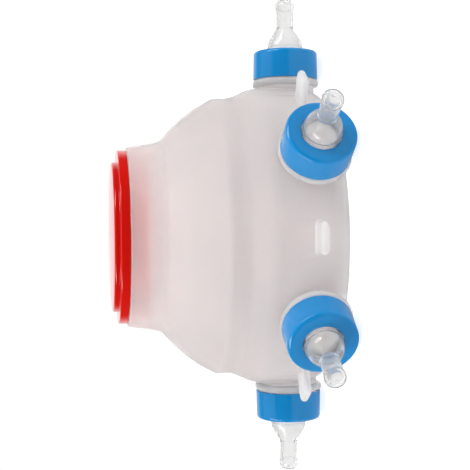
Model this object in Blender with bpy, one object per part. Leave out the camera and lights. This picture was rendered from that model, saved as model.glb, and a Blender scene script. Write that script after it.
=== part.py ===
# Six-teat livestock nursing bottle: a translucent blow-moulded drum that stands on its base,
# with six silicone teats held by screw caps round its lower wall, six solid moulded lugs
# between them, and a wide mouth on top closed by a push-in lid.

import math

import bmesh
import bpy
from mathutils import Matrix, Vector

MM = 0.001

# Vessel: overall form, measured on its outside
STATION_COUNT = 6
DRUM_RADIUS = 96.0 * MM
DRUM_HEIGHT = 47.5 * MM
SHOULDER_RISE = 14.0 * MM
VALLEY_DEPTH = 6.5 * MM
VALLEY_RISE = 10.3 * MM
DOME_LOWER_RISE = 16.2 * MM
DOME_LOWER_LEAN_DEG = 25.0
DOME_UPPER_RISE = 18.6 * MM
NECK_ROOT_RADIUS = 61.2 * MM
NECK_RISE = 21.4 * MM
NECK_DRAW_IN = 3.5 * MM
VESSEL_WALL = 2.2 * MM

# Vessel: base with a standing ring round a raised centre
STANDING_RING_INSET = 25.0 * MM
STANDING_RING_WIDTH = 10.0 * MM
BASE_PUSH_UP = 3.0 * MM
PUSH_UP_SLOPE_WIDTH = 6.0 * MM
HEEL_RISE = 2.8 * MM

# Vessel: fillets of its outline
HEEL_FILLET = 14.5 * MM
SHOULDER_FILLET = 18.0 * MM
VALLEY_FILLET = 16.0 * MM
DOME_FOOT_FILLET = 8.0 * MM
DOME_FILLET = 82.0 * MM
NECK_ROOT_FILLET = 9.0 * MM
RIM_FILLET = 3.0 * MM

# Vessel: mouth
RIM_WALL = 5.2 * MM
RIM_DEPTH = 14.0 * MM
RIM_UNDERCUT_RISE = 3.0 * MM

# Vessel: teat necks
NECK_BORE_WALL = 3.2 * MM
TEAT_NECK_RADIUS = 18.2 * MM
STEM_PROUD = 0.3 * MM
TEAT_NECK_REACH = 20.2 * MM
NECK_ROOTING = 9.5 * MM
BEAD_STANDOFF = 1.6 * MM
BEAD_THICKNESS = 4.2 * MM
BEAD_PROUD = 0.5 * MM
BEAD_FILLET = 1.2 * MM

# Vessel: lugs
LUG_WIDTH = 19.3 * MM
LUG_THICKNESS = 4.4 * MM
LUG_REACH = 18.5 * MM
LUG_CORNER = 5.2 * MM
LUG_DRAFT = 0.4 * MM
LUG_FLAT = 0.2 * MM

# Caps
CAP_WALL = 2.4 * MM
CAP_TOP = 2.3 * MM
CAP_FILLET = 2.4 * MM
CAP_DRAFT = 0.45 * MM
CAP_EDGE = 0.6 * MM
FLOOR_CLEARANCE = 1.0 * MM

# Teats
BELL_RADIUS = 12.1 * MM
BELL_HEIGHT = 6.4 * MM
BELL_TAPER_HEIGHT = 8.5 * MM
SHAFT_RADIUS = 5.8 * MM
BULB_RADIUS = 6.3 * MM
SHAFT_HEIGHT = 12.5 * MM
BULB_HEIGHT = 2.7 * MM
TIP_HEIGHT = 4.2 * MM
TEAT_WALL = 1.6 * MM
TEAT_HOLE_RADIUS = 0.7 * MM
FLANGE_THICKNESS = 2.0 * MM
BELL_FILLET = 14.0 * MM
BELL_NECK_FILLET = 0.8 * MM
TIP_FILLET = 4.8 * MM

# Lid
LID_RING_LAP = 3.5 * MM
LID_RING_THICKNESS = 5.8 * MM
LID_STEP_INSET = 7.6 * MM
LID_STEP_HEIGHT = 3.6 * MM
LID_CROWN = 1.1 * MM
LID_WALL = 2.4 * MM
LID_EDGE_FILLET = 2.0 * MM
LID_RING_FILLET = 0.8 * MM
PLUG_DEPTH = 12.0 * MM
PLUG_WALL = 2.0 * MM

# Clearances between pieces
SEAT_GAP = 0.3 * MM
THREAD_CLEARANCE = 0.7 * MM
FLANGE_CLEARANCE = 1.1 * MM
BELL_CLEARANCE = 0.4 * MM
BEAD_CLEARANCE = 0.8 * MM
PLUG_CLEARANCE = 0.4 * MM

# Facets
VESSEL_SEGMENTS = 48
NECK_SEGMENTS = 20
CAP_SEGMENTS = 20
TEAT_SEGMENTS = 14
OUTSIDE_TOLERANCE = 0.40 * MM
INSIDE_TOLERANCE = 0.75 * MM
SMOOTH_ANGLE = math.radians(35)
CUT_OVERSHOOT = 4.0 * MM
MERGE_DISTANCE = 1e-7

# Places that follow from the dimensions above
STATION_ANGLES = [math.tau * i / STATION_COUNT for i in range(STATION_COUNT)]
LUG_ANGLES = [angle + math.pi / STATION_COUNT for angle in STATION_ANGLES]
STANDING_RING_RADIUS = DRUM_RADIUS - STANDING_RING_INSET
TEAT_NECK_BORE = TEAT_NECK_RADIUS - NECK_BORE_WALL
STEM_RADIUS = TEAT_NECK_RADIUS + STEM_PROUD
LUG_ROUNDING = (LUG_THICKNESS - LUG_FLAT) / 2
CAP_BORE = TEAT_NECK_RADIUS + THREAD_CLEARANCE
CAP_RADIUS = CAP_BORE + CAP_WALL
CAP_HOLE = BELL_RADIUS + BELL_CLEARANCE
FLANGE_RADIUS = CAP_BORE - FLANGE_CLEARANCE
BEAD_RADIUS = CAP_RADIUS + BEAD_PROUD
TEAT_PLANE_HEIGHT = CAP_RADIUS + FLOOR_CLEARANCE
NECK_RIM_REACH = DRUM_RADIUS + TEAT_NECK_REACH
BEAD_INNER_REACH = DRUM_RADIUS + BEAD_STANDOFF
BEAD_OUTER_REACH = BEAD_INNER_REACH + BEAD_THICKNESS
FLANGE_INNER_REACH = NECK_RIM_REACH + SEAT_GAP
FLANGE_OUTER_REACH = FLANGE_INNER_REACH + FLANGE_THICKNESS
CAP_UNDER_TOP_REACH = FLANGE_OUTER_REACH + SEAT_GAP
CAP_FACE_REACH = CAP_UNDER_TOP_REACH + CAP_TOP
CAP_SKIRT_REACH = BEAD_OUTER_REACH + BEAD_CLEARANCE
VALLEY_RADIUS = DRUM_RADIUS - VALLEY_DEPTH
VALLEY_HEIGHT = DRUM_HEIGHT + SHOULDER_RISE
DOME_FOOT_HEIGHT = VALLEY_HEIGHT + VALLEY_RISE
DOME_KNEE_HEIGHT = DOME_FOOT_HEIGHT + DOME_LOWER_RISE
DOME_KNEE_RADIUS = VALLEY_RADIUS - DOME_LOWER_RISE * math.tan(math.radians(DOME_LOWER_LEAN_DEG))
NECK_ROOT_HEIGHT = DOME_KNEE_HEIGHT + DOME_UPPER_RISE
RIM_HEIGHT = NECK_ROOT_HEIGHT + NECK_RISE
RIM_RADIUS = NECK_ROOT_RADIUS - NECK_DRAW_IN
MOUTH_RADIUS = RIM_RADIUS - RIM_WALL
LID_SEAT_HEIGHT = RIM_HEIGHT + SEAT_GAP
LID_RING_TOP = LID_SEAT_HEIGHT + LID_RING_THICKNESS
LID_STEP_TOP = LID_RING_TOP + LID_STEP_HEIGHT
PLUG_RADIUS = MOUTH_RADIUS - PLUG_CLEARANCE
LID_RING_RADIUS = MOUTH_RADIUS + LID_RING_LAP
LID_STEP_RADIUS = LID_RING_RADIUS - LID_STEP_INSET


def turn_angle(before, corner, after):
    """Signed angle through which a polyline turns at a corner, positive to the left."""
    ahead = after - corner
    back = corner - before
    return math.atan2(back.x * ahead.y - back.y * ahead.x, back.dot(ahead))


def rounded_outline(corners, tolerance):
    """Points of a polyline of (radius, height, fillet) corners, with each fillet as an arc.

    A fillet is limited to what fits between its corner's neighbours, and its chords stay within
    the tolerance of the true arc.
    """
    points = [Vector(corner[:2]) for corner in corners]
    outline = [points[0]]
    for index in range(1, len(points) - 1):
        before, corner, after = points[index - 1:index + 2]
        turn = turn_angle(before, corner, after)
        half_tangent = math.tan(abs(turn) / 2)
        room = 0.49 * min((corner - before).length, (after - corner).length)
        radius = min(corners[index][2], room / half_tangent) if half_tangent > 1e-6 else 0.0
        if radius <= 0.0:
            outline.append(corner)
            continue
        back = (before - corner).normalized()
        ahead = (after - corner).normalized()
        reach = radius * half_tangent
        start = corner + back * reach
        side = Vector((back.y, -back.x)) if turn > 0 else Vector((-back.y, back.x))
        centre = start + side * radius
        chord_angle = 2 * math.acos(1 - min(tolerance / radius, 1.0))
        steps = math.ceil(abs(turn) / chord_angle)
        spoke = start - centre
        for step in range(steps + 1):
            angle = turn * step / steps
            outline.append(centre + Matrix.Rotation(angle, 2) @ spoke)
    outline.append(points[-1])
    return outline


def inset_corners(corners, wall):
    """The same polyline moved to its left by a wall's thickness, fillets kept parallel."""
    points = [Vector(corner[:2]) for corner in corners]
    lines = []
    for start, end in zip(points, points[1:]):
        along = (end - start).normalized()
        lines.append((start + Vector((-along.y, along.x)) * wall, along))
    inset = [(lines[0][0].x, lines[0][0].y, 0.0)]
    for index in range(1, len(points) - 1):
        (start, along), (next_start, next_along) = lines[index - 1:index + 1]
        cross = along.x * next_along.y - along.y * next_along.x
        offset = next_start - start
        travel = (offset.x * next_along.y - offset.y * next_along.x) / cross
        place = start + along * travel
        fillet = corners[index][2]
        fillet = max(fillet - wall, 0.0) if cross > 0 else fillet + wall
        inset.append((place.x, place.y, fillet))
    last = lines[-1][0] + lines[-1][1] * (points[-1] - points[-2]).length
    inset.append((last.x, last.y, 0.0))
    return inset


def turned_mesh(outline, segments, closed=False):
    """A bmesh turned about Z from (radius, height) points.

    A closed outline makes a ring. An open one that stops short of the axis is closed by a flat
    face there.
    """
    mesh = bmesh.new()
    verts = [mesh.verts.new((point.x, 0.0, point.y)) for point in outline]
    pairs = list(zip(verts, verts[1:]))
    if closed:
        pairs.append((verts[-1], verts[0]))
    edges = [mesh.edges.new(pair) for pair in pairs]
    bmesh.ops.spin(mesh, geom=verts + edges, cent=(0, 0, 0), axis=(0, 0, 1),
                   angle=math.tau, steps=segments, use_merge=True)
    bmesh.ops.remove_doubles(mesh, verts=mesh.verts, dist=MERGE_DISTANCE)
    open_ends = [edge for edge in mesh.edges if edge.is_boundary]
    bmesh.ops.holes_fill(mesh, edges=open_ends, sides=0)
    bmesh.ops.recalc_face_normals(mesh, faces=mesh.faces)
    return mesh


def repeat_round_z(source, angles, height):
    """One bmesh that holds the source at each angle, its local Z turned to point outwards."""
    joined = bmesh.new()
    scratch = bpy.data.meshes.new("repeat_scratch")
    for angle in angles:
        copy = source.copy()
        copy.transform(station_matrix(angle, height))
        copy.to_mesh(scratch)
        copy.free()
        joined.from_mesh(scratch)
    bpy.data.meshes.remove(scratch)
    source.free()
    return joined


def station_matrix(angle, height):
    """Places local Z along the outward radius at an angle, and local X along world -Z."""
    outward = Matrix.Rotation(angle, 4, "Z") @ Matrix.Rotation(math.pi / 2, 4, "Y")
    return Matrix.Translation((0, 0, height)) @ outward


def add_object(name, mesh, material=None):
    """Stores a bmesh as a smooth-shaded object and links it to the scene."""
    data = bpy.data.meshes.new(name)
    mesh.to_mesh(data)
    mesh.free()
    data.shade_smooth()
    data.set_sharp_from_angle(angle=SMOOTH_ANGLE)
    if material:
        data.materials.append(material)
    thing = bpy.data.objects.new(name, data)
    bpy.context.scene.collection.objects.link(thing)
    return thing


def add_cutter(name, mesh):
    """An operand of the vessel's Booleans, which isn't itself part of the object."""
    cutter = add_object(name, mesh)
    cutter.hide_render = True
    cutter.display_type = "WIRE"
    return cutter


def boolean(target, operand, operation):
    modifier = target.modifiers.new(operand.name, "BOOLEAN")
    modifier.operation = operation
    modifier.solver = "EXACT"
    modifier.object = operand


def plastic(name, colour, roughness, alpha=1.0):
    material = bpy.data.materials.new(name)
    material.use_nodes = True
    shader = material.node_tree.nodes["Principled BSDF"]
    shader.inputs["Base Color"].default_value = (*colour, 1.0)
    shader.inputs["Roughness"].default_value = roughness
    shader.inputs["Metallic"].default_value = 0.0
    shader.inputs["Alpha"].default_value = alpha
    return material


def vessel_outer_corners():
    """The drum's outside from the centre of its base to its rim."""
    ring_inner = STANDING_RING_RADIUS - STANDING_RING_WIDTH / 2
    ring_outer = STANDING_RING_RADIUS + STANDING_RING_WIDTH / 2
    return [
        (ring_inner - PUSH_UP_SLOPE_WIDTH, BASE_PUSH_UP, 0.0),
        (ring_inner, 0.0, 0.0),
        (ring_outer, 0.0, 0.0),
        (DRUM_RADIUS, HEEL_RISE, HEEL_FILLET),
        (DRUM_RADIUS, DRUM_HEIGHT, SHOULDER_FILLET),
        (VALLEY_RADIUS, VALLEY_HEIGHT, VALLEY_FILLET),
        (VALLEY_RADIUS, DOME_FOOT_HEIGHT, DOME_FOOT_FILLET),
        (DOME_KNEE_RADIUS, DOME_KNEE_HEIGHT, DOME_FILLET),
        (NECK_ROOT_RADIUS, NECK_ROOT_HEIGHT, NECK_ROOT_FILLET),
        (RIM_RADIUS, RIM_HEIGHT, RIM_FILLET),
        (0.0, RIM_HEIGHT, 0.0),
    ]


def vessel_cavity_corners():
    """The drum's inside, one wall in from its outside, with the thicker finish at the mouth."""
    outer_to_rim = vessel_outer_corners()[:-1]
    inside = inset_corners(outer_to_rim, VESSEL_WALL)[:-1]
    finish_foot = RIM_HEIGHT - RIM_DEPTH
    climb = (finish_foot - NECK_ROOT_HEIGHT) / NECK_RISE
    wall_at_foot = NECK_ROOT_RADIUS - NECK_DRAW_IN * climb - VESSEL_WALL
    return inside + [
        (wall_at_foot, finish_foot, 0.0),
        (MOUTH_RADIUS, finish_foot + RIM_UNDERCUT_RISE, 0.0),
        (MOUTH_RADIUS, RIM_HEIGHT + CUT_OVERSHOOT, 0.0),
    ]


def teat_necks_blank():
    """Six solid necks, each with the bead that stops its cap, along local Z from the axis."""
    foot = DRUM_RADIUS - NECK_ROOTING
    corners = [
        (STEM_RADIUS, foot, 0.0),
        (STEM_RADIUS, BEAD_INNER_REACH, 0.0),
        (BEAD_RADIUS, BEAD_INNER_REACH, BEAD_FILLET),
        (BEAD_RADIUS, BEAD_OUTER_REACH, BEAD_FILLET),
        (TEAT_NECK_RADIUS, BEAD_OUTER_REACH, 0.0),
        (TEAT_NECK_RADIUS, NECK_RIM_REACH, 0.0),
    ]
    neck = turned_mesh(rounded_outline(corners, OUTSIDE_TOLERANCE), NECK_SEGMENTS)
    return repeat_round_z(neck, STATION_ANGLES, TEAT_PLANE_HEIGHT)


def teat_bores_cutter():
    """Six bores from inside the drum out through the necks."""
    ends = (DRUM_RADIUS - TEAT_NECK_BORE, NECK_RIM_REACH + CUT_OVERSHOOT)
    bore = turned_mesh([Vector((TEAT_NECK_BORE, end)) for end in ends], NECK_SEGMENTS)
    return repeat_round_z(bore, STATION_ANGLES, TEAT_PLANE_HEIGHT)


def lugs_blank():
    """Six solid tabs on the mould's parting plane, with full-round sides and ends."""
    foot = DRUM_RADIUS - 2 * VESSEL_WALL
    height = LUG_REACH + DRUM_RADIUS - foot
    mesh = bmesh.new()
    bmesh.ops.create_cube(mesh, size=1.0)
    for vert in mesh.verts:
        outer = vert.co.z > 0
        draw = 0.0 if outer else LUG_DRAFT
        vert.co.x = math.copysign(LUG_THICKNESS / 2 + draw, vert.co.x)
        vert.co.y = math.copysign(LUG_WIDTH / 2 + draw, vert.co.y)
        vert.co.z = foot + (height if outer else 0.0)
    corners = [edge for edge in mesh.edges if min(vert.co.z for vert in edge.verts) > foot + height / 2
               and edge.verts[0].co.x * edge.verts[1].co.x < 0]
    bmesh.ops.bevel(mesh, geom=corners, offset=LUG_CORNER, segments=4, profile=0.5, affect="EDGES", material=-1)
    outline = [edge for edge in mesh.edges if max(vert.co.z for vert in edge.verts) > foot + height / 4
               and edge.verts[0].co.x * edge.verts[1].co.x > 0]
    bmesh.ops.bevel(mesh, geom=outline, offset=LUG_ROUNDING, segments=3, profile=0.5, affect="EDGES", material=-1)
    bmesh.ops.remove_doubles(mesh, verts=mesh.verts, dist=LUG_FLAT / 4)
    bmesh.ops.recalc_face_normals(mesh, faces=mesh.faces)
    return repeat_round_z(mesh, LUG_ANGLES, TEAT_PLANE_HEIGHT)


def build_vessel():
    material = plastic("vessel_plastic", (0.80, 0.76, 0.75), 0.4, alpha=0.6)
    outside = rounded_outline(vessel_outer_corners(), OUTSIDE_TOLERANCE)
    body = turned_mesh(outside[:-1], VESSEL_SEGMENTS)
    vessel = add_object("vessel", body, material)
    cavity = turned_mesh(rounded_outline(vessel_cavity_corners(), INSIDE_TOLERANCE), VESSEL_SEGMENTS)
    boolean(vessel, add_cutter("necks_blank", teat_necks_blank()), "UNION")
    boolean(vessel, add_cutter("lugs_blank", lugs_blank()), "UNION")
    boolean(vessel, add_cutter("cavity_cutter", cavity), "DIFFERENCE")
    boolean(vessel, add_cutter("bores_cutter", teat_bores_cutter()), "DIFFERENCE")
    return vessel


def cap_mesh():
    """A plain screw ring: skirt over the neck, and a top with a round hole for the bell."""
    corners = [
        (CAP_HOLE, CAP_UNDER_TOP_REACH, 0.0),
        (CAP_BORE, CAP_UNDER_TOP_REACH, 0.0),
        (CAP_BORE, CAP_SKIRT_REACH, 0.0),
        (CAP_RADIUS, CAP_SKIRT_REACH, 0.0),
        (CAP_RADIUS - CAP_DRAFT, CAP_FACE_REACH, CAP_FILLET),
        (CAP_HOLE + CAP_EDGE, CAP_FACE_REACH, 0.0),
        (CAP_HOLE, CAP_FACE_REACH - CAP_EDGE, 0.0),
    ]
    closed = corners + [corners[0]]
    return turned_mesh(rounded_outline(closed, OUTSIDE_TOLERANCE)[:-1], CAP_SEGMENTS, closed=True)


def teat_mesh():
    """A hollow teat: flange under the cap, bell through its hole, shaft, and a rounded bulb."""
    bell_top = CAP_FACE_REACH + BELL_HEIGHT
    shaft_foot = bell_top + BELL_TAPER_HEIGHT
    bulb_foot = shaft_foot + SHAFT_HEIGHT
    tip_foot = bulb_foot + BULB_HEIGHT
    tip = tip_foot + TIP_HEIGHT
    outer = [
        (FLANGE_RADIUS, FLANGE_INNER_REACH, 0.0),
        (FLANGE_RADIUS, FLANGE_OUTER_REACH, 0.0),
        (BELL_RADIUS, FLANGE_OUTER_REACH, 0.0),
        (BELL_RADIUS, bell_top, BELL_FILLET),
        (SHAFT_RADIUS, shaft_foot, BELL_NECK_FILLET),
        (SHAFT_RADIUS, bulb_foot, 0.0),
        (BULB_RADIUS, tip_foot, 0.0),
        (BULB_RADIUS - TEAT_WALL / 4, tip, TIP_FILLET),
        (TEAT_HOLE_RADIUS, tip, 0.0),
    ]
    bell_inside = inset_corners(outer[1:], TEAT_WALL)[2:]
    inner = [
        (TEAT_HOLE_RADIUS, tip - TEAT_WALL, 0.0),
        *reversed(bell_inside[:-1]),
        (BELL_RADIUS - TEAT_WALL, FLANGE_INNER_REACH, 0.0),
    ]
    outline = rounded_outline(outer, OUTSIDE_TOLERANCE) + rounded_outline(inner, INSIDE_TOLERANCE)
    return turned_mesh(outline, TEAT_SEGMENTS, closed=True)


def build_station(number, angle, cap_colour, silicone):
    """One teat and its cap on an empty whose Z is the neck's axis, along which they leave."""
    station = bpy.data.objects.new(f"station_{number}", None)
    station.matrix_world = station_matrix(angle, TEAT_PLANE_HEIGHT)
    bpy.context.scene.collection.objects.link(station)
    teat = add_object(f"teat_{number}", teat_mesh(), silicone)
    cap = add_object(f"cap_{number}", cap_mesh(), cap_colour)
    teat.parent = station
    cap.parent = station


def build_lid():
    """A push-in lid: plug skirt in the mouth, ring on the rim, and a stepped, crowned top."""
    material = plastic("lid_red", (0.58, 0.01, 0.004), 0.3)
    under_top = LID_STEP_TOP - LID_WALL
    inner_radius = PLUG_RADIUS - PLUG_WALL
    corners = [
        (LID_STEP_RADIUS - LID_WALL, under_top, 0.0),
        (LID_STEP_RADIUS - LID_WALL, LID_RING_TOP - LID_WALL, 0.0),
        (inner_radius, LID_RING_TOP - LID_WALL, 0.0),
        (inner_radius, RIM_HEIGHT - PLUG_DEPTH, 0.0),
        (PLUG_RADIUS, RIM_HEIGHT - PLUG_DEPTH, LID_RING_FILLET),
        (PLUG_RADIUS, LID_SEAT_HEIGHT, 0.0),
        (LID_RING_RADIUS, LID_SEAT_HEIGHT, 0.0),
        (LID_RING_RADIUS, LID_RING_TOP, LID_RING_FILLET),
        (LID_STEP_RADIUS, LID_RING_TOP, 0.0),
        (LID_STEP_RADIUS, LID_STEP_TOP, LID_EDGE_FILLET),
        (0.0, LID_STEP_TOP + LID_CROWN, 0.0),
    ]
    return add_object("lid", turned_mesh(rounded_outline(corners, OUTSIDE_TOLERANCE), VESSEL_SEGMENTS), material)


for leftover in list(bpy.data.objects):
    bpy.data.objects.remove(leftover, do_unlink=True)

build_vessel()
build_lid()
cap_blue = plastic("cap_blue", (0.01, 0.16, 0.52), 0.35)
clear_silicone = plastic("clear_silicone", (0.85, 0.85, 0.84), 0.15, alpha=0.5)
for place, station_angle in enumerate(STATION_ANGLES, start=1):
    build_station(place, station_angle, cap_blue, clear_silicone)
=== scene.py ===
# Looks of a six-teat nursing feeder: a translucent blow-moulded drum that stands on its base,
# six clear silicone teats held by blue screw caps round its lower wall, six solid moulded lugs
# between them, and a wide mouth on top closed by a red push-in lid.

import math

import bmesh
import bpy
from mathutils import Matrix, Vector


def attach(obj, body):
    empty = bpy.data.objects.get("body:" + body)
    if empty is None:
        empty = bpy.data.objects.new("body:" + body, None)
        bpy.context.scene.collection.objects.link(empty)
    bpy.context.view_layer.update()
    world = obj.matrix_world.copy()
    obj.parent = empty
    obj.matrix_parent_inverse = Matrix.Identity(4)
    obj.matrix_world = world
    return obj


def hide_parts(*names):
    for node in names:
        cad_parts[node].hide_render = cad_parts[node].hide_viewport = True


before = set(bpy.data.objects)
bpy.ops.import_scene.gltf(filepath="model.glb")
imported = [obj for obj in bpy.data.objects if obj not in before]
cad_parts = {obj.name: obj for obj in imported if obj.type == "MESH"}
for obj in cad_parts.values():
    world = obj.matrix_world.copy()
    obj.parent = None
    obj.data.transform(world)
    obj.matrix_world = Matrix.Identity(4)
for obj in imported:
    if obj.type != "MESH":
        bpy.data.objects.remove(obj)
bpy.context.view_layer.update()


# Drum. The real one is blow-moulded in one piece from natural polyethylene, which leaves it milky
# and see-through, with a satin skin. Its necks, their beads and threads, and the six solid lugs
# come out of the same mould, so they are all one body here, with a 2.2 mm wall.

MM = 0.001
STATIONS = [math.radians(60 * number) for number in range(6)]
LUG_STATIONS = [angle + math.radians(30) for angle in STATIONS]
TEAT_PLANE = 22.3

DRUM_RADIUS = 96.0
DRUM_SEGMENTS = 288
HEEL_ARC = 14.5
HEEL_TOP = 15.4
DRUM_OUTSIDE = [
    (0, 3.0, 0), (60.0, 3.0, 2.5), (66.0, 0, 1.5), (76.0, 0, 2.5), (DRUM_RADIUS, 2.8, HEEL_ARC),
    (DRUM_RADIUS, 47.5, 18), (89.5, 61.5, 16), (89.5, 71.8, 8), (81.95, 88.0, 82), (61.2, 106.6, 9),
    (57.7, 128.0, 1.2), (0, 128.0, 0),
]
DRUM_INSIDE = [
    (0, 4.97, 0), (60.98, 4.97, 2.5), (66.52, 2.2, 1.5), (75.85, 2.2, 2.5), (93.8, 4.71, 12.3),
    (93.8, 47.0, 15.8), (87.3, 61.0, 18.2), (87.3, 71.3, 5.8), (80.14, 86.66, 79.8), (59.15, 105.48, 11.2),
    (57.79, 114.0, 2), (52.5, 117.0, 2), (52.5, 132.0, 0), (0, 132.0, 0),
]

NECK_OUTSIDE = [
    (18.5, 97.4, 0), (18.5, 97.6, 0), (21.8, 97.6, 1.5), (21.8, 101.8, 1.5), (18.2, 101.8, 0.4),
    (18.2, 116.2, 0.5), (0, 116.2, 0),
]
NECK_SEGMENTS = 96
NECK_BORE_RADIUS = 15.0
NECK_BORE_FROM = 81
NECK_BORE_TO = 122
NECK_FOOT_FILLET = 1.2

LUG = Vector((4.4, 19.3, 18.5))
LUG_CORNER = 5.2
LUG_ROUNDING = 2.1
LUG_ROOT = 4.0
LUG_FOOT_FILLET = 1.4

FILLET_DEGREES = 8
FOOT_STEPS = 6
FOOT_SINK = 0.06
FOOT_DEPTH = 4
THREAD_PITCH = 4.0
THREAD_WIDTH = 2.2
THREAD_STEPS = 40
THREAD_FADE = 8


def outline(corners, closed=False):
    """A profile in the XZ plane from (radius, height, fillet) corners in millimetres."""
    mesh = bmesh.new()
    verts = [mesh.verts.new((radius * MM, 0, height * MM)) for radius, height, _ in corners]
    for pair in zip(verts, verts[1:]):
        mesh.edges.new(pair)
    if closed:
        mesh.edges.new((verts[-1], verts[0]))
    for vert, (_, _, fillet) in zip(verts, corners):
        if fillet:
            ahead, behind = (edge.other_vert(vert).co - vert.co for edge in vert.link_edges)
            turn = math.pi - ahead.angle(behind)
            steps = max(2, math.ceil(math.degrees(turn) / FILLET_DEGREES))
            bmesh.ops.bevel(mesh, geom=[vert], offset=fillet * MM * math.tan(turn / 2), offset_type="OFFSET",
                            segments=steps, profile=0.5, affect="VERTICES", material=-1)
    return mesh


def turned(profile, segments):
    """The solid that a profile makes when it is turned about Z."""
    bmesh.ops.spin(profile, geom=profile.verts[:] + profile.edges[:], cent=(0, 0, 0), axis=(0, 0, 1),
                   angle=math.tau, steps=segments, use_merge=True)
    bmesh.ops.remove_doubles(profile, verts=profile.verts, dist=1e-6)
    bmesh.ops.recalc_face_normals(profile, faces=profile.faces)
    return profile


def outward(angle):
    """Puts local Z along a neck's axis, and local X straight down."""
    turn = Matrix.Rotation(angle, 4, "Z") @ Matrix.Rotation(math.pi / 2, 4, "Y")
    return Matrix.Translation((0, 0, TEAT_PLANE * MM)) @ turn


def repeated(mesh, angles):
    """One bmesh with a copy of this one at each angle round the drum."""
    joined, scratch = bmesh.new(), bpy.data.meshes.new("scratch")
    for angle in angles:
        copy = mesh.copy()
        copy.transform(outward(angle))
        copy.to_mesh(scratch)
        copy.free()
        joined.from_mesh(scratch)
    bpy.data.meshes.remove(scratch)
    return joined


def as_object(name, mesh):
    """An object in the scene that holds this bmesh, which is freed."""
    data = bpy.data.meshes.new(name)
    mesh.to_mesh(data)
    mesh.free()
    thing = bpy.data.objects.new(name, data)
    bpy.context.scene.collection.objects.link(thing)
    return thing


def cut_and_join(target, *steps):
    """Makes each (operation, bmesh) Boolean on the target in turn, and leaves it a plain mesh."""
    tools = []
    for operation, mesh in steps:
        tool = as_object(f"{target.name}_{operation.lower()}_{len(tools)}", mesh)
        tool.hide_render = True
        modifier = target.modifiers.new(tool.name, "BOOLEAN")
        modifier.operation, modifier.solver, modifier.object = operation, "MANIFOLD", tool
        tools.append(tool)
    finished = bpy.data.meshes.new_from_object(target.evaluated_get(bpy.context.evaluated_depsgraph_get()))
    target.modifiers.clear()
    target.data = finished
    for tool in tools:
        bpy.data.objects.remove(tool)


def finish_piece(thing, body, node, material, sharp=40):
    """Shades a finished piece, and lets it stand for its CAD node."""
    thing.data.shade_smooth()
    thing.data.set_sharp_from_angle(angle=math.radians(sharp))
    thing.data.materials.clear()
    thing.data.materials.append(material)
    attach(thing, body)
    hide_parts(node)


def drum_surface(height, sideways):
    """How far out the drum's wall is, on a line parallel to a neck's axis."""
    below = max(0.0, HEEL_TOP - height)
    radius = DRUM_RADIUS - HEEL_ARC + math.sqrt(max(HEEL_ARC ** 2 - below ** 2, 1.0))
    return math.sqrt(radius ** 2 - sideways ** 2)


def root_on_drum(mesh, fillet, core):
    """Spreads a mesh's open rim out onto the drum in a fillet, away from its core, and closes it inside the wall."""
    rim = [edge for edge in mesh.edges if edge.is_boundary]
    for step in range(1, FOOT_STEPS + 1):
        before, swing = (math.radians(90 * done / FOOT_STEPS) for done in (step - 1, step))
        grown = bmesh.ops.extrude_edge_only(mesh, edges=rim)["geom"]
        for vert in (item for item in grown if isinstance(item, bmesh.types.BMVert)):
            away = vert.co / MM - core(vert.co / MM)
            away.z = 0
            reach = away.normalized() * fillet
            place = vert.co / MM - reach * (1 - math.cos(before)) + reach * (1 - math.cos(swing))
            surface = drum_surface(TEAT_PLANE - place.x, place.y)
            place.z = surface + fillet * (1 - math.sin(swing)) - FOOT_SINK
            vert.co = place * MM
        rim = [item for item in grown if isinstance(item, bmesh.types.BMEdge)]
    grown = bmesh.ops.extrude_edge_only(mesh, edges=rim)["geom"]
    for vert in (item for item in grown if isinstance(item, bmesh.types.BMVert)):
        vert.co.z -= FOOT_DEPTH * MM
    bmesh.ops.contextual_create(mesh, geom=[item for item in grown if isinstance(item, bmesh.types.BMEdge)])
    bmesh.ops.recalc_face_normals(mesh, faces=mesh.faces)


def thread(root, crest, start, turns):
    """A right-hand screw ridge about Z that fades out at both ends."""
    mesh = bmesh.new()
    half, top = THREAD_WIDTH / 2, THREAD_WIDTH / 5
    places = [(root, -half), (crest, -top), (crest, top), (root, half)]
    verts = [mesh.verts.new((radius * MM, 0, (start + along) * MM)) for radius, along in places]
    mesh.faces.new(verts)
    bmesh.ops.spin(mesh, geom=mesh.faces[:], cent=(0, 0, 0), axis=(0, 0, 1),
                   dvec=(0, 0, THREAD_PITCH * MM / THREAD_STEPS), angle=math.tau * turns,
                   steps=round(turns * THREAD_STEPS))
    for vert in mesh.verts:
        angle = math.atan2(vert.co.y, vert.co.x) % math.tau
        coil = round((vert.co.z / MM - start) / THREAD_PITCH - angle / math.tau)
        turned_by = angle / math.tau + coil
        fade = min(1.0, max(0.02, min(turned_by, turns - turned_by) * THREAD_FADE))
        radius = math.hypot(vert.co.x, vert.co.y)
        wanted = root * MM + (radius - root * MM) * fade
        vert.co.x, vert.co.y = vert.co.x * wanted / radius, vert.co.y * wanted / radius
    bmesh.ops.recalc_face_normals(mesh, faces=mesh.faces)
    return mesh


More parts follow.
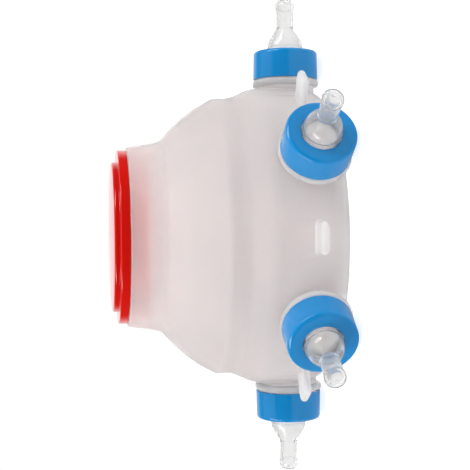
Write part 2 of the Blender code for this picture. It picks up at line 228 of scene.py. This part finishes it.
def moulded_lug():
    """A flat tab that stands out from the drum, with its outer corners and its whole outline rounded."""
    tab = bmesh.new()
    length = LUG.z - LUG_ROOT
    start = DRUM_RADIUS + LUG_ROOT
    bmesh.ops.create_cube(tab, size=MM)
    bmesh.ops.scale(tab, verts=tab.verts, vec=(LUG.x, LUG.y, length))
    bmesh.ops.translate(tab, verts=tab.verts, vec=(0, 0, (start + length / 2) * MM))
    beyond = (start + 1) * MM
    corners = [edge for edge in tab.edges if min(vert.co.z for vert in edge.verts) > beyond
               and edge.verts[0].co.x * edge.verts[1].co.x < 0]
    bmesh.ops.bevel(tab, geom=corners, offset=LUG_CORNER * MM, segments=12, profile=0.5, affect="EDGES", material=-1)
    rims = [edge for edge in tab.edges if max(vert.co.z for vert in edge.verts) > beyond
            and edge.verts[0].co.x * edge.verts[1].co.x > 0]
    bmesh.ops.bevel(tab, geom=rims, offset=LUG_ROUNDING * MM, segments=8, profile=0.5, affect="EDGES", material=-1)
    bmesh.ops.remove_doubles(tab, verts=tab.verts, dist=0.02 * MM)
    bmesh.ops.delete(tab, geom=[min(tab.faces, key=lambda face: face.calc_center_median().z)], context="FACES_ONLY")
    return tab


def lug_core(place):
    """The nearest point to a place on the flat middle of a lug."""
    wide, tall = LUG.x / 2 - LUG_ROUNDING, LUG.y / 2 - LUG_ROUNDING
    return Vector((min(max(place.x, -wide), wide), min(max(place.y, -tall), tall), place.z))


neck = turned(outline(NECK_OUTSIDE), NECK_SEGMENTS)
root_on_drum(neck, NECK_FOOT_FILLET, lambda place: Vector((0, 0, place.z)))
neck_threads = thread(root=17.9, crest=18.75, start=103.7, turns=1.5)
neck_bore = turned(outline([(0, NECK_BORE_FROM, 0), (NECK_BORE_RADIUS, NECK_BORE_FROM, 0),
                            (NECK_BORE_RADIUS, NECK_BORE_TO, 0), (0, NECK_BORE_TO, 0)]), NECK_SEGMENTS)
lug = moulded_lug()
root_on_drum(lug, LUG_FOOT_FILLET, lug_core)

drum = as_object("drum", turned(outline(DRUM_OUTSIDE), DRUM_SEGMENTS))
cut_and_join(
    drum,
    ("UNION", repeated(neck, STATIONS)),
    ("UNION", repeated(neck_threads, STATIONS)),
    ("UNION", repeated(lug, LUG_STATIONS)),
    ("DIFFERENCE", turned(outline(DRUM_INSIDE), DRUM_SEGMENTS)),
    ("DIFFERENCE", repeated(neck_bore, STATIONS)),
)


def moulded_finish():
    """The skin that every moulded piece here has: faint clouds of tone, satin patches, and a fine grain."""
    group = bpy.data.node_groups.new("moulded_finish", "ShaderNodeTree")
    for name, kind in (("Place", "Vector"), ("Colour", "Color"), ("Cloud Colour", "Color"), ("Cloud Size", "Float"),
                       ("Cloud Amount", "Float"), ("Roughness", "Float"), ("Roughness Spread", "Float"),
                       ("Grain Size", "Float")):
        group.interface.new_socket(name=name, in_out="INPUT", socket_type="NodeSocket" + kind)
    for name, kind in (("Colour", "Color"), ("Roughness", "Float"), ("Grain", "Float")):
        group.interface.new_socket(name=name, in_out="OUTPUT", socket_type="NodeSocket" + kind)
    nodes, links = group.nodes, group.links
    given, made = nodes.new("NodeGroupInput"), nodes.new("NodeGroupOutput")
    clouds, grain = nodes.new("ShaderNodeTexNoise"), nodes.new("ShaderNodeTexNoise")
    clouds.inputs["Detail"].default_value = 3.0
    grain.inputs["Detail"].default_value = 2.0
    links.new(given.outputs["Place"], clouds.inputs["Vector"])
    links.new(given.outputs["Cloud Size"], clouds.inputs["Scale"])
    links.new(given.outputs["Place"], grain.inputs["Vector"])
    links.new(given.outputs["Grain Size"], grain.inputs["Scale"])
    spread = nodes.new("ShaderNodeMapRange")
    spread.inputs["From Min"].default_value, spread.inputs["From Max"].default_value = 0.35, 0.65
    links.new(clouds.outputs["Fac"], spread.inputs["Value"])
    share = nodes.new("ShaderNodeMath")
    share.operation = "MULTIPLY"
    links.new(spread.outputs["Result"], share.inputs[0])
    links.new(given.outputs["Cloud Amount"], share.inputs[1])
    blend = nodes.new("ShaderNodeMix")
    blend.data_type = "RGBA"
    links.new(share.outputs[0], blend.inputs["Factor"])
    links.new(given.outputs["Colour"], blend.inputs["A"])
    links.new(given.outputs["Cloud Colour"], blend.inputs["B"])
    satin = nodes.new("ShaderNodeMath")
    satin.operation = "MULTIPLY_ADD"
    links.new(spread.outputs["Result"], satin.inputs[0])
    links.new(given.outputs["Roughness Spread"], satin.inputs[1])
    links.new(given.outputs["Roughness"], satin.inputs[2])
    links.new(blend.outputs["Result"], made.inputs["Colour"])
    links.new(satin.outputs[0], made.inputs["Roughness"])
    links.new(grain.outputs["Fac"], made.inputs["Grain"])
    return group


MOULDED = moulded_finish()


def moulded(name, values, grain_depth, **shader_values):
    """A material with that skin, and its own constants on the shader's sockets."""
    material = bpy.data.materials.new(name)
    material.use_nodes = True
    nodes, links = material.node_tree.nodes, material.node_tree.links
    shader = nodes["Principled BSDF"]
    skin = nodes.new("ShaderNodeGroup")
    skin.node_tree = MOULDED
    place = nodes.new("ShaderNodeTexCoord")
    links.new(place.outputs["Object"], skin.inputs["Place"])
    for socket, value in values.items():
        skin.inputs[socket].default_value = (*value, 1) if isinstance(value, tuple) else value
    bump = nodes.new("ShaderNodeBump")
    bump.inputs["Strength"].default_value = 1.0
    bump.inputs["Distance"].default_value = grain_depth * MM
    links.new(skin.outputs["Grain"], bump.inputs["Height"])
    links.new(skin.outputs["Colour"], shader.inputs["Base Color"])
    links.new(skin.outputs["Roughness"], shader.inputs["Roughness"])
    links.new(bump.outputs["Normal"], shader.inputs["Normal"])
    for socket, value in shader_values.items():
        shader.inputs[socket.replace("_", " ")].default_value = value
    return material


# The wall's tint is the milky off-white of the polyethylene with a painted pink glow of the red lid in it. The
# neck's tint is a lighter, pinker painted glow of the red lid, faded in up the mouth's neck.
WALL_TINT_WITH_LID_GLOW = (0.85, 0.812, 0.802)
NECK_LID_GLOW = (0.95, 0.90, 0.895)
# The solid tint is painted light: a lighter, neutral white faded in on everything that stands out from the drum (the
# necks with their beads and threads, and the lugs) and on the standing foot. It lifts the shade under the caps and
# by the table, and leaves out the painted pink glow.
PAINTED_LIGHT_TINT = (0.96, 0.96, 0.96)
NECK_GLOW_FADE = (90.0, 116.0)
STANDOUT_LIGHT_FADE = (96.5, 98.5)
FOOT_LIGHT_FADE = (12.0, 4.0)


def tint_with_painted_light(material):
    """Tints the thin wall and paints light into it: a lighter, pinker painted glow of the lid for the mouth's neck,
    and lighter painted tones that lift the shade on what stands out from the drum and on the foot.
    """
    nodes, links = material.node_tree.nodes, material.node_tree.links
    place, across, reach, height = (nodes.new("ShaderNode" + kind) for kind in (
        "TexCoord", "VectorMath", "VectorMath", "SeparateXYZ"))
    across.operation, reach.operation = "MULTIPLY", "LENGTH"
    across.inputs[1].default_value = (1, 1, 0)
    links.new(place.outputs["Object"], across.inputs[0])
    links.new(across.outputs["Vector"], reach.inputs[0])
    links.new(place.outputs["Object"], height.inputs["Vector"])
    colour = next(node for node in nodes if node.bl_idname == "ShaderNodeGroup").inputs["Colour"]
    for value, (start, end), tone in ((height.outputs["Z"], FOOT_LIGHT_FADE, PAINTED_LIGHT_TINT),
                                      (reach.outputs["Value"], STANDOUT_LIGHT_FADE, PAINTED_LIGHT_TINT),
                                      (height.outputs["Z"], NECK_GLOW_FADE, NECK_LID_GLOW)):
        fade, tint = nodes.new("ShaderNodeMapRange"), nodes.new("ShaderNodeMix")
        fade.inputs["From Min"].default_value, fade.inputs["From Max"].default_value = start * MM, end * MM
        tint.data_type = "RGBA"
        tint.inputs["A"].default_value, tint.inputs["B"].default_value = (*WALL_TINT_WITH_LID_GLOW, 1), (*tone, 1)
        links.new(value, fade.inputs["Value"])
        links.new(fade.outputs["Result"], tint.inputs["Factor"])
        links.new(tint.outputs["Result"], colour)
        colour = tint.inputs["A"]


milky = moulded(
    "milky_polyethylene",
    {"Cloud Colour": (0.82, 0.80, 0.795), "Cloud Size": 45.0, "Cloud Amount": 0.5,
     "Roughness": 0.66, "Roughness Spread": 0.08, "Grain Size": 700.0},
    grain_depth=0.03, Transmission_Weight=0.72, IOR=1.38)
# Paints light into the drum's colour: the red lid's pink glow, and lighter tones that lift the shade on the foot and
# on what stands out from the drum.
tint_with_painted_light(milky)
finish_piece(drum, "vessel", "vessel", milky)


# Lid. One injection moulding in glossy red polypropylene: a skirt that pushes into the mouth, a
# ring that rests on the rim, and a stepped top that is slightly crowned.

LID_SECTION = [
    (0, 135.3, 0), (46.0, 135.3, 1), (46.0, 131.7, 0.4), (50.1, 131.7, 1), (50.1, 116.0, 0), (50.5, 116.0, 0),
    (52.1, 117.2, 0.6), (52.1, 128.3, 0.3), (56.0, 128.3, 0.4), (56.0, 134.1, 0.9), (48.4, 134.1, 0.5),
    (48.4, 137.7, 1.6),
]
LID_SEGMENTS = 192
CROWN_RADIUS = 46.0
CROWN_TOP = 138.8
CROWN_RISE = 1.05
CROWN_STEPS = 12
CROWN = [(CROWN_RADIUS - CROWN_RADIUS * step / CROWN_STEPS,
          CROWN_TOP - CROWN_RISE * (1 - step / CROWN_STEPS) ** 2, 0) for step in range(CROWN_STEPS + 1)]

lid = as_object("lid_moulding", turned(outline(LID_SECTION + CROWN), LID_SEGMENTS))
red = moulded(
    "red_polypropylene",
    {"Colour": (0.67, 0.004, 0.001), "Cloud Colour": (0.62, 0.0035, 0.001), "Cloud Size": 60.0, "Cloud Amount": 0.5,
     "Roughness": 0.08, "Roughness Spread": 0.03, "Grain Size": 500.0},
    grain_depth=0.01, IOR=1.45)
finish_piece(lid, "lid", "lid", red, sharp=60)


# Screw caps. Plain rings of blue polypropylene: a skirt with a thread inside, and a top with a
# round hole that the teat's bell comes through.

CAP_SECTION = [
    (12.1, 118.8, 0.3), (18.9, 118.8, 0.5), (18.9, 102.6, 0.3), (21.3, 102.6, 0.5), (20.85, 121.1, 2.4),
    (12.4, 121.1, 0.4), (12.1, 120.7, 0),
]
CAP_SEGMENTS = 128
cap_thread = thread(root=19.15, crest=18.35, start=105.7, turns=1.5)
blue = moulded(
    "blue_polypropylene",
    {"Colour": (0.006, 0.25, 0.61), "Cloud Colour": (0.005, 0.235, 0.58), "Cloud Size": 120.0, "Cloud Amount": 0.3,
     "Roughness": 0.1, "Roughness Spread": 0.04, "Grain Size": 600.0},
    grain_depth=0.01, IOR=1.45)

for number, angle in enumerate(STATIONS, start=1):
    cap_mesh = turned(outline(CAP_SECTION, closed=True), CAP_SEGMENTS)
    cap_mesh.transform(outward(angle))
    cap = as_object(f"cap_ring_{number}", cap_mesh)
    cut_and_join(cap, ("UNION", repeated(cap_thread, [angle])))
    finish_piece(cap, f"cap_{number}", f"cap_{number}", blue, sharp=50)


# Teats. Each is one piece of clear silicone rubber: a flange that the cap clamps on the neck's
# rim, a bell, a shaft, and a bulb with a small hole in its end. The wall is 1.6 mm all over.

TEAT_SECTION = [
    (10.1, 116.5, 0.3), (17.8, 116.5, 0.4), (17.8, 118.5, 0.4), (11.75, 118.5, 0.3), (11.75, 123.6, 0.5),
    (11.4, 124.0, 0.4), (11.4, 127.5, 14), (5.8, 136.0, 1.0), (5.7, 148.5, 0.2), (6.15, 149.0, 0.6),
    (6.3, 151.2, 3), (5.9, 155.4, 4.2), (0.7, 155.4, 0.2), (0.7, 153.8, 0.2), (4.2, 153.8, 2.4),
    (4.7, 150.8, 2), (4.2, 147.6, 2), (4.2, 136.9, 2.5), (9.8, 126.8, 11), (10.1, 124.0, 2),
]
TEAT_SEGMENTS = 96
silicone = moulded(
    "clear_silicone_rubber",
    {"Colour": (0.90, 0.90, 0.895), "Cloud Colour": (0.87, 0.87, 0.86), "Cloud Size": 150.0, "Cloud Amount": 0.4,
     "Roughness": 0.12, "Roughness Spread": 0.05, "Grain Size": 400.0},
    grain_depth=0.01, Transmission_Weight=0.88, IOR=1.41)

for number, angle in enumerate(STATIONS, start=1):
    teat_mesh = turned(outline(TEAT_SECTION, closed=True), TEAT_SEGMENTS)
    teat_mesh.transform(outward(angle))
    teat = as_object(f"silicone_teat_{number}", teat_mesh)
    finish_piece(teat, f"teat_{number}", f"teat_{number}", silicone, sharp=50)


# Studio: a white table in front of a white backdrop, lit by two tall softboxes beside the camera and a
# broad one overhead, in a room that is dim on the camera's side. The camera looks level at the feeder
# and is rolled a quarter turn, as the picture shows it lying on its side.

scene = bpy.context.scene
scene.view_settings.view_transform = "Standard"

camera_data = bpy.data.cameras.new("camera")
camera_data.sensor_width = 36.0
camera_data.lens = 82.97
camera = bpy.data.objects.new("camera", camera_data)
camera.location = (0.01314, -0.70481, 0.16389)
camera.rotation_euler = [math.radians(angle) for angle in (-4.8307, 81.3404, -93.8544)]
scene.collection.objects.link(camera)
scene.camera = camera


def by_depth(tree, place, near, far, dim, bright):
    """A value that goes from dim on the camera's side to bright behind the feeder."""
    sides, ramp = tree.nodes.new("ShaderNodeSeparateXYZ"), tree.nodes.new("ShaderNodeMapRange")
    tree.links.new(place, sides.inputs[0])
    tree.links.new(sides.outputs["Y"], ramp.inputs["Value"])
    for socket, value in (("From Min", near), ("From Max", far), ("To Min", dim), ("To Max", bright)):
        ramp.inputs[socket].default_value = value
    return ramp.outputs["Result"]


def by_ray(tree, lighting, mirrored, seen):
    """A strength for rays that light, one for mirrored rays, and one for what is seen, also through plastic."""
    path, strength = tree.nodes.new("ShaderNodeLightPath"), lighting
    for kind, other in (("Is Glossy Ray", mirrored), ("Is Transmission Ray", seen), ("Is Camera Ray", seen)):
        pick = tree.nodes.new("ShaderNodeMix")
        tree.links.new(path.outputs[kind], pick.inputs["Factor"])
        for socket, value in ((pick.inputs["A"], strength), (pick.inputs["B"], other)):
            if isinstance(value, float):
                socket.default_value = value
            else:
                tree.links.new(value, socket)
        strength = pick.outputs["Result"]
    return strength


world = bpy.data.worlds.new("white_room")
world.use_nodes = True
scene.world = world
tree = world.node_tree
backdrop = tree.nodes["Background"]
backdrop.inputs["Color"].default_value = (1, 1, 1, 1)
way = tree.nodes.new("ShaderNodeTexCoord").outputs["Generated"]
tree.links.new(by_ray(
    tree,
    lighting=by_depth(tree, way, near=-1, far=1, dim=0.15, bright=1.0),
    mirrored=by_depth(tree, way, near=0.6, far=0.85, dim=0.12, bright=1.0),
    seen=1.0), backdrop.inputs["Strength"])

TABLE_RADIUS = 0.7
TABLE_GAP = 0.2
TABLE_TONE = (0.4, 0.4, 0.4, 1)
table_mesh = bmesh.new()
bmesh.ops.create_circle(table_mesh, cap_ends=True, segments=64, radius=TABLE_RADIUS)
bmesh.ops.translate(table_mesh, verts=table_mesh.verts, vec=(0, 0, -TABLE_GAP * MM))
table = as_object("table", table_mesh)
table_material = bpy.data.materials.new("white_table")
table_material.use_nodes = True
tree = table_material.node_tree
tree.nodes.remove(tree.nodes["Principled BSDF"])
matt, glow, both, place = (tree.nodes.new("ShaderNode" + kind) for kind in (
    "BsdfDiffuse", "Emission", "AddShader", "TexCoord"))
matt.inputs["Color"].default_value = TABLE_TONE
tree.links.new(by_ray(
    tree,
    lighting=0.6,
    mirrored=by_depth(tree, place.outputs["Object"], near=-0.15, far=0.05, dim=0.1, bright=0.65),
    seen=0.82), glow.inputs["Strength"])
tree.links.new(matt.outputs[0], both.inputs[0])
tree.links.new(glow.outputs[0], both.inputs[1])
tree.links.new(both.outputs[0], tree.nodes["Material Output"].inputs["Surface"])
table.data.materials.append(table_material)

LAMP_TARGET = Vector((0, 0, 0.06))
LAMP_DISTANCE = 1.2


def softbox(name, azimuth, elevation, width, height, watts):
    """A rectangular lamp that faces the drum, placed by its direction from it; azimuth 0 is the camera's side."""
    lamp = bpy.data.lights.new(name, "AREA")
    lamp.shape = "RECTANGLE"
    lamp.size, lamp.size_y, lamp.energy = width, height, watts
    thing = bpy.data.objects.new(name, lamp)
    turn, rise = math.radians(azimuth), math.radians(elevation)
    way = Vector((math.sin(turn) * math.cos(rise), -math.cos(turn) * math.cos(rise), math.sin(rise)))
    thing.location = LAMP_TARGET + way * LAMP_DISTANCE
    thing.rotation_mode = "QUATERNION"
    thing.rotation_quaternion = way.to_track_quat("Z", "Y")
    scene.collection.objects.link(thing)


softbox("softbox_right", azimuth=69, elevation=40, width=0.3, height=0.9, watts=7.8)
softbox("softbox_left", azimuth=-69, elevation=40, width=0.3, height=0.9, watts=7.8)
softbox("softbox_overhead", azimuth=0, elevation=85, width=1.2, height=1.2, watts=2.5)
